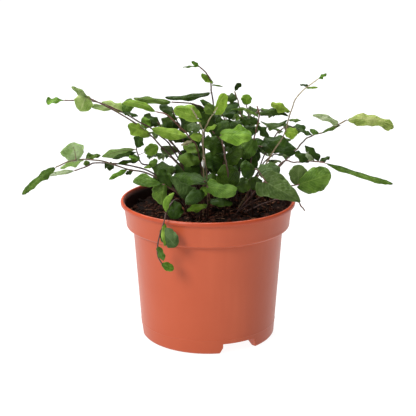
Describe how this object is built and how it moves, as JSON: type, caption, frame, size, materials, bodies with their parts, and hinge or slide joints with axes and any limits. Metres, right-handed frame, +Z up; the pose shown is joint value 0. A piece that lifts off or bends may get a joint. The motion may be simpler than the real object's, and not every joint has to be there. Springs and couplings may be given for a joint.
{
  "type": "potted fern",
  "caption": "Button fern with wiry fronds of round leathery leaflets, in a thin-walled terracotta-coloured plastic nursery pot with a collar, footed base and dark potting mix.",
  "frame": {"origin": "on the pot's axis, in the plane the pot stands on, which is also the bottom centre of the whole plant's box", "axes": "+Z up along the pot's axis, +X to the right and +Y to the back as seen from the front view"},
  "size_m": [0.2455, 0.152, 0.1896],
  "materials": {
    "pot": "satin terracotta-coloured plastic",
    "soil": "rough dark peat and bark mix",
    "leaf": "leathery, semi-gloss",
    "dead_stem": "dry, matte"
  },
  "bodies": {
    "root": {"bare_twig": "dead_stem", "frond_back_1": "leaf", "frond_back_2": "leaf", "frond_back_3": "leaf", "frond_back_4": "leaf", "frond_back_5": "leaf", "frond_back_low_1": "leaf", "frond_back_low_2": "leaf", "frond_back_low_3": "leaf", "frond_back_low_4": "leaf", "frond_centre_front": "leaf", "frond_centre_left": "leaf", "frond_centre_right": "leaf", "frond_dark_back": "leaf", "frond_dark_front": "leaf", "frond_dark_left": "leaf", "frond_front_centre": "leaf", "frond_front_hanging": "leaf", "frond_front_left": "leaf", "frond_front_low": "leaf", "frond_inner_1": "leaf", "frond_inner_2": "leaf", "frond_inner_3": "leaf", "frond_left_back": "leaf", "frond_left_high": "leaf", "frond_left_inner": "leaf", "frond_left_low": "leaf", "frond_left_low_back": "leaf", "frond_left_mid": "leaf", "frond_right_front_in": "leaf", "frond_right_front_out": "leaf", "frond_right_high": "leaf", "frond_right_low": "leaf", "frond_right_mid": "leaf", "frond_right_thin": "leaf", "frond_right_up": "leaf", "frond_top": "leaf", "frond_upper_dark": "leaf", "frond_young_left": "leaf", "frond_young_right": "leaf", "pot": "pot", "soil": "soil"}
  },
  "joints": []
}
